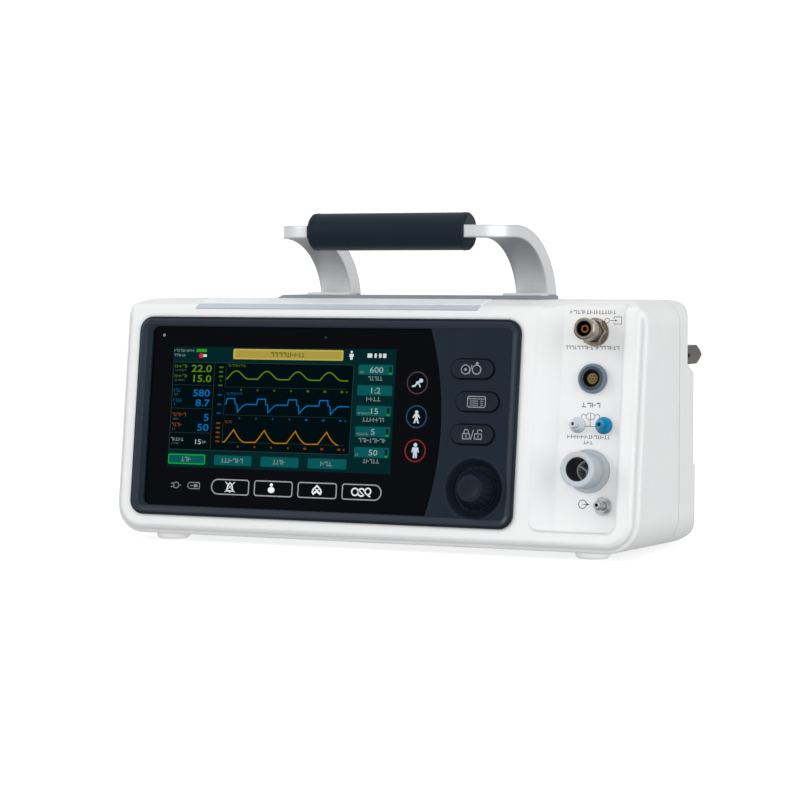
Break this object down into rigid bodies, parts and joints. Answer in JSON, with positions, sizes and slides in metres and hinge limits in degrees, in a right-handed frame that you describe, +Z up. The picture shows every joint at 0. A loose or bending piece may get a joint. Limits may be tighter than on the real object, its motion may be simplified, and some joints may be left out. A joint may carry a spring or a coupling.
{
  "type": "mechanical ventilator",
  "caption": "Portable gas-driven ventilator: white case, leaning screen panel with keys and knob, recessed gas ports, battery housing and carrying handle.",
  "frame": {"origin": "on the floor, below the middle of the whole part's box", "axes": "+X along the width, to the right seen from the front; +Y to the rear; +Z up"},
  "size_m": [0.37, 0.1612, 0.2174],
  "materials": {
    "case_white": "fine satin texture",
    "panel_slate": "satin",
    "key_slate": "satin",
    "knob_slate": "satin",
    "touch_glass": "polished",
    "display_metal": "plain",
    "sheet_steel": "plain",
    "board_green": "lacquered",
    "nickel": "satin nickel plate",
    "copper_core": "turned",
    "socket_blue_grey": "satin",
    "gold_pins": "plated",
    "port_white": "moulded",
    "port_blue": "moulded",
    "port_grey": "moulded",
    "block_aluminium": "milled",
    "coil_black": "moulded",
    "bare_steel": "ground",
    "regulator_brass": "turned",
    "sensor_blue": "moulded",
    "black_plastic": "moulded",
    "filter_grey": "moulded",
    "battery_grey": "wrapped",
    "handle_silver": "silver paint",
    "grip_rubber": "soft grip",
    "plate_blue_grey": "satin",
    "trim_light_grey": "satin",
    "trim_blue_grey": "satin",
    "foot_rubber": "soft"
  },
  "bodies": {
    "housing": {"front_case": "case_white", "rear_cover": "case_white", "battery_door": "case_white", "battery_pack": "battery_grey", "control_bezel": "panel_slate", "display_glass": "touch_glass", "lcd_module": "display_metal", "display_bracket": "sheet_steel", "main_board": "board_green", "keypad_board": "board_green", "encoder_body": "black_plastic", "gas_inlet": "nickel", "gas_inlet_core": "copper_core", "sensor_socket": "socket_blue_grey", "sensor_socket_pins": "gold_pins", "pressure_port_white": "port_white", "pressure_port_blue": "port_blue", "insp_port": "port_grey", "insp_port_vanes": "port_grey", "sample_port": "nickel", "port_tubes": "filter_grey", "valve_manifold": "block_aluminium", "insp_valve_coil": "coil_black", "fresh_valve_coil": "coil_black", "pressure_regulator": "regulator_brass", "flow_sensor": "sensor_blue", "chassis_plate": "sheet_steel", "power_board": "board_green", "heat_sink": "block_aluminium", "speaker": "black_plastic", "fan_frame": "black_plastic", "power_inlet": "black_plastic", "rear_gas_fitting": "nickel", "inlet_filter": "filter_grey", "handle": "handle_silver", "handle_grip": "grip_rubber", "handle_plate": "plate_blue_grey", "handle_fairings": "case_white", "top_trim_upper": "trim_light_grey", "top_trim_lower": "trim_blue_grey", "feet": "foot_rubber", "case_screws": "bare_steel", "handle_screws": "bare_steel", "bracket_screws": "bare_steel", "manifold_screws": "bare_steel", "door_screws": "bare_steel"},
    "standby_key": {"standby_key": "key_slate"},
    "menu_key": {"menu_key": "key_slate"},
    "lock_key": {"lock_key": "key_slate"},
    "knob_press": {"encoder_plunger": "gold_pins"},
    "knob_turn": {"knob": "knob_slate", "encoder_shaft": "bare_steel"},
    "fan": {"fan_rotor": "black_plastic"},
    "insp_valve": {"insp_valve_plunger": "bare_steel"},
    "fresh_valve": {"fresh_valve_plunger": "bare_steel"}
  },
  "joints": [
    {"name": "standby_key_travel", "type": "slide", "parent": "housing", "child": "standby_key", "axis": [0, 0.9917, -0.1288], "range_m": [0, 0.0008], "stiffness_N_per_m": 600},
    {"name": "menu_key_travel", "type": "slide", "parent": "housing", "child": "menu_key", "axis": [0, 0.9917, -0.1288], "range_m": [0, 0.0008], "stiffness_N_per_m": 600},
    {"name": "lock_key_travel", "type": "slide", "parent": "housing", "child": "lock_key", "axis": [0, 0.9917, -0.1288], "range_m": [0, 0.0008], "stiffness_N_per_m": 600},
    {"name": "knob_push", "type": "slide", "parent": "housing", "child": "knob_press", "axis": [0, 0.9917, -0.1288], "range_m": [0, 0.0006], "stiffness_N_per_m": 1500},
    {"name": "knob_spin", "type": "hinge", "parent": "knob_press", "child": "knob_turn", "pos_m": [0.07635, -0.07559, 0.04309], "axis": [0, -0.9917, 0.1288], "continuous": true},
    {"name": "fan_spin", "type": "hinge", "parent": "housing", "child": "fan", "pos_m": [-0.118, 0.03204, 0.13669], "axis": [0, 1, 0], "continuous": true},
    {"name": "insp_valve_lift", "type": "slide", "parent": "housing", "child": "insp_valve", "axis": [0, 0.9917, -0.1288], "range_m": [0, 0.0015], "stiffness_N_per_m": 900},
    {"name": "fresh_valve_lift", "type": "slide", "parent": "housing", "child": "fresh_valve", "axis": [0, 0.9917, -0.1288], "range_m": [0, 0.0015], "stiffness_N_per_m": 900}
  ]
}
